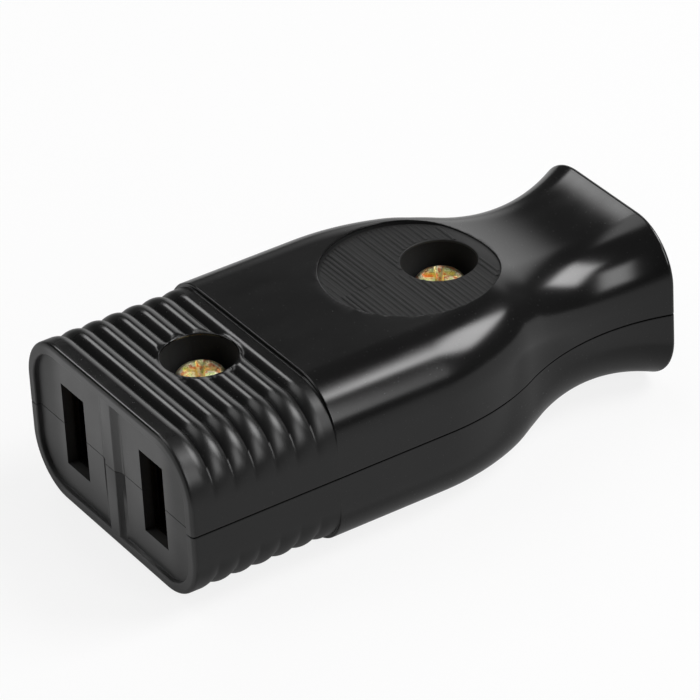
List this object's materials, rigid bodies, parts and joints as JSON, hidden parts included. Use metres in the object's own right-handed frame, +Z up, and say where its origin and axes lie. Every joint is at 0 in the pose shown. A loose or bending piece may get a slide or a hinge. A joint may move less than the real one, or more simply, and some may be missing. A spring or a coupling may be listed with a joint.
{
  "type": "in-line cord socket",
  "caption": "In-line cord socket for flat blades: ribbed, waisted black plastic halves screwed together around folded brass contacts, with a flared tail that is open for a cord.",
  "frame": {"origin": "on the surface the socket lies on, under the middle of its length and width", "axes": "+Y from the socket face to the tail, +Z up through the case screws, +X across the blade slots"},
  "size_m": [0.0264, 0.052, 0.0163],
  "materials": {
    "case_plastic": "glossy moulded plastic with a satin socket face and matte finger pad",
    "case_screw": "yellow zinc plated steel",
    "contact_brass": "bare rolled brass strip",
    "terminal_screw": "bright zinc plated steel"
  },
  "bodies": {
    "lower_case": {"lower_shell": "case_plastic", "left_contact": "contact_brass", "right_contact": "contact_brass"},
    "upper_case": {"upper_shell": "case_plastic"},
    "front_screw": {"front_case_screw": "case_screw"},
    "rear_screw": {"rear_case_screw": "case_screw"},
    "left_terminal": {"left_terminal_screw": "terminal_screw"},
    "right_terminal": {"right_terminal_screw": "terminal_screw"}
  },
  "joints": [
    {"name": "case_opening", "type": "slide", "parent": "lower_case", "child": "upper_case", "axis": [0, 0, 1], "range_m": [0, 0.02]},
    {"name": "front_screw_out", "type": "slide", "parent": "upper_case", "child": "front_screw", "axis": [0, 0, 1], "range_m": [0, 0.0105]},
    {"name": "rear_screw_out", "type": "slide", "parent": "upper_case", "child": "rear_screw", "axis": [0, 0, 1], "range_m": [0, 0.0105]},
    {"name": "left_terminal_loosen", "type": "slide", "parent": "lower_case", "child": "left_terminal", "axis": [0, 0, 1], "range_m": [0, 0.0025]},
    {"name": "right_terminal_loosen", "type": "slide", "parent": "lower_case", "child": "right_terminal", "axis": [0, 0, 1], "range_m": [0, 0.0025]}
  ]
}
